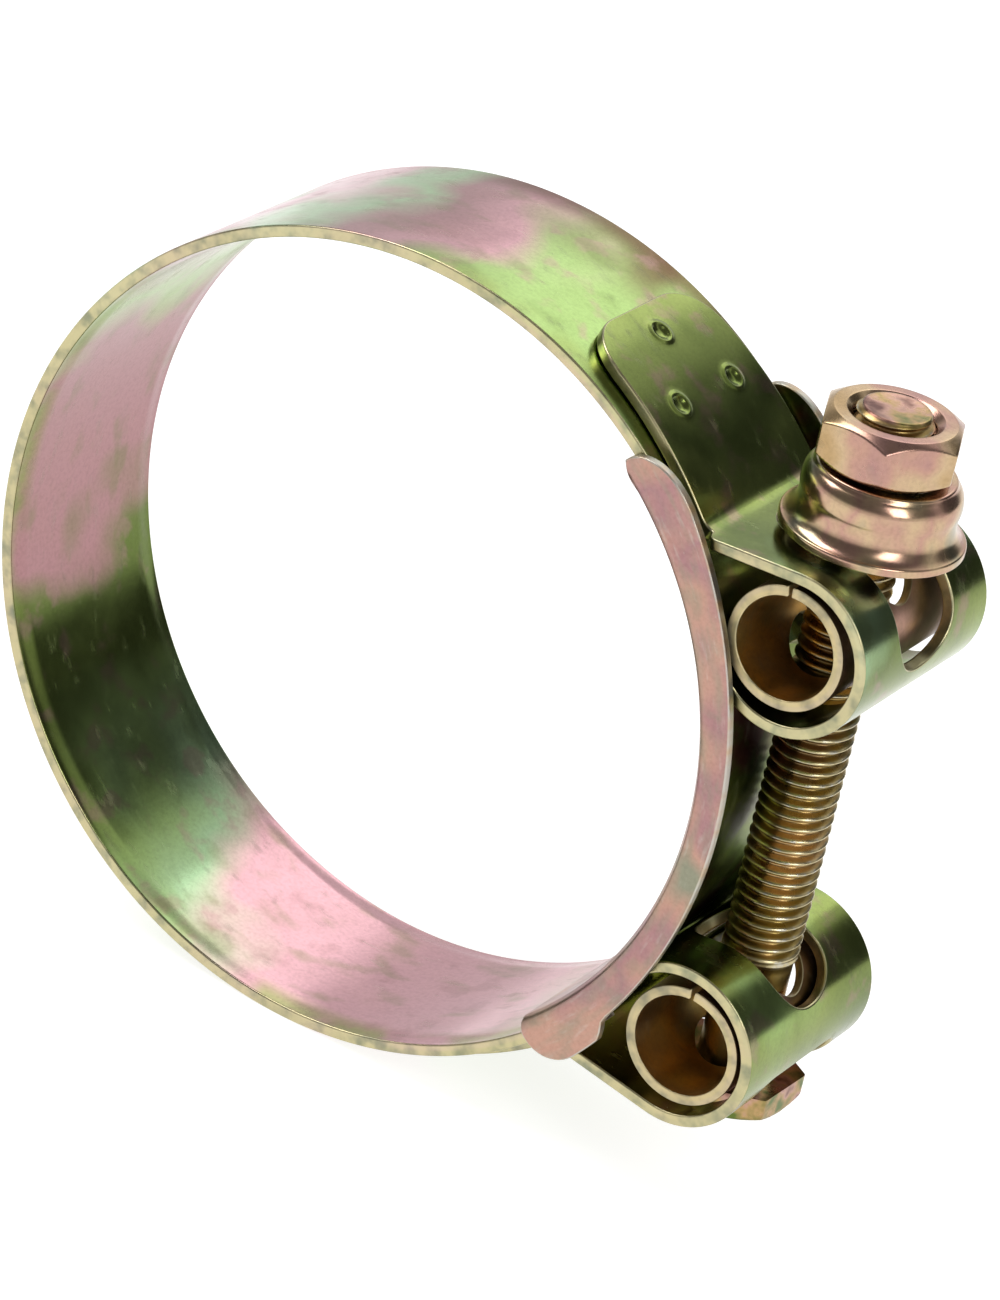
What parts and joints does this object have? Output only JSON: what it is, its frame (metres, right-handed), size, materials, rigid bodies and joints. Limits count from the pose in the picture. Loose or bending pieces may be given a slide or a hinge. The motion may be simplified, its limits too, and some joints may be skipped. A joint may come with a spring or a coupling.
{
  "type": "bolt hose clamp",
  "caption": "Heavy-duty hose clamp: a flat steel band looped round two trunnions, closed by a bolt, nut and bell collar over a bridge.",
  "frame": {"origin": "centre of the clamped bore, on the middle of the band's width", "axes": "+Y along the bore; +Z parallel to the bolt, from its head to the nut; +X from the bore to the bolt"},
  "size_m": [0.0972, 0.0268, 0.0852],
  "materials": {
    "band_steel": "yellow zinc plate, iridescent green and pink, smooth",
    "bridge_steel": "yellow zinc plate, iridescent salmon pink, slightly scuffed",
    "trunnion_steel": "yellow zinc plate, golden brown inside",
    "bolt_steel": "yellow zinc plate, bronze, rolled thread",
    "nut_steel": "yellow zinc plate, pinkish tan",
    "collar_steel": "yellow zinc plate, bright pressed steel"
  },
  "bodies": {
    "saddle": {"bridge": "bridge_steel", "band_lower_end": "band_steel"},
    "ring_back": {"band_back": "band_steel"},
    "ring_upper": {"band_upper_end": "band_steel"},
    "upper_pin": {"upper_trunnion": "trunnion_steel", "collar": "collar_steel"},
    "screw": {"bolt": "bolt_steel", "lower_trunnion": "trunnion_steel"},
    "nut": {"nut": "nut_steel"}
  },
  "joints": [
    {"name": "upper_flex", "type": "hinge", "parent": "ring_back", "child": "ring_upper", "pos_m": [-0.00147, 0, 0.042], "axis": [0, 1, 0], "range_deg": [0, 5.73]},
    {"name": "lower_flex", "type": "hinge", "parent": "saddle", "child": "ring_back", "pos_m": [-0.00147, 0, -0.042], "axis": [0, 1, 0], "range_deg": [0, 5.8]},
    {"name": "bolt_swing", "type": "hinge", "parent": "saddle", "child": "screw", "pos_m": [0.0447, 0, -0.0236], "axis": [0, 1, 0], "range_deg": [0, 5.5]},
    {"name": "upper_pin_turn", "type": "hinge", "parent": "ring_upper", "child": "upper_pin", "pos_m": [0.0451, 0, 0.02095], "axis": [0, 1, 0], "range_deg": [-6.1, 0]},
    {"name": "nut_spin", "type": "hinge", "parent": "upper_pin", "child": "nut", "pos_m": [0.045, 0, 0.0368], "axis": [0, 0, -1], "range_deg": [0, 2612]}
  ],
  "couplings": [
    {"joint": "lower_flex", "follows": "upper_flex", "ratio": 1},
    {"joint": "bolt_swing", "follows": "upper_flex", "ratio": 0.9478},
    {"joint": "upper_pin_turn", "follows": "upper_flex", "ratio": -1.0522},
    {"joint": "nut_spin", "follows": "upper_flex", "ratio": 455.5}
  ]
}
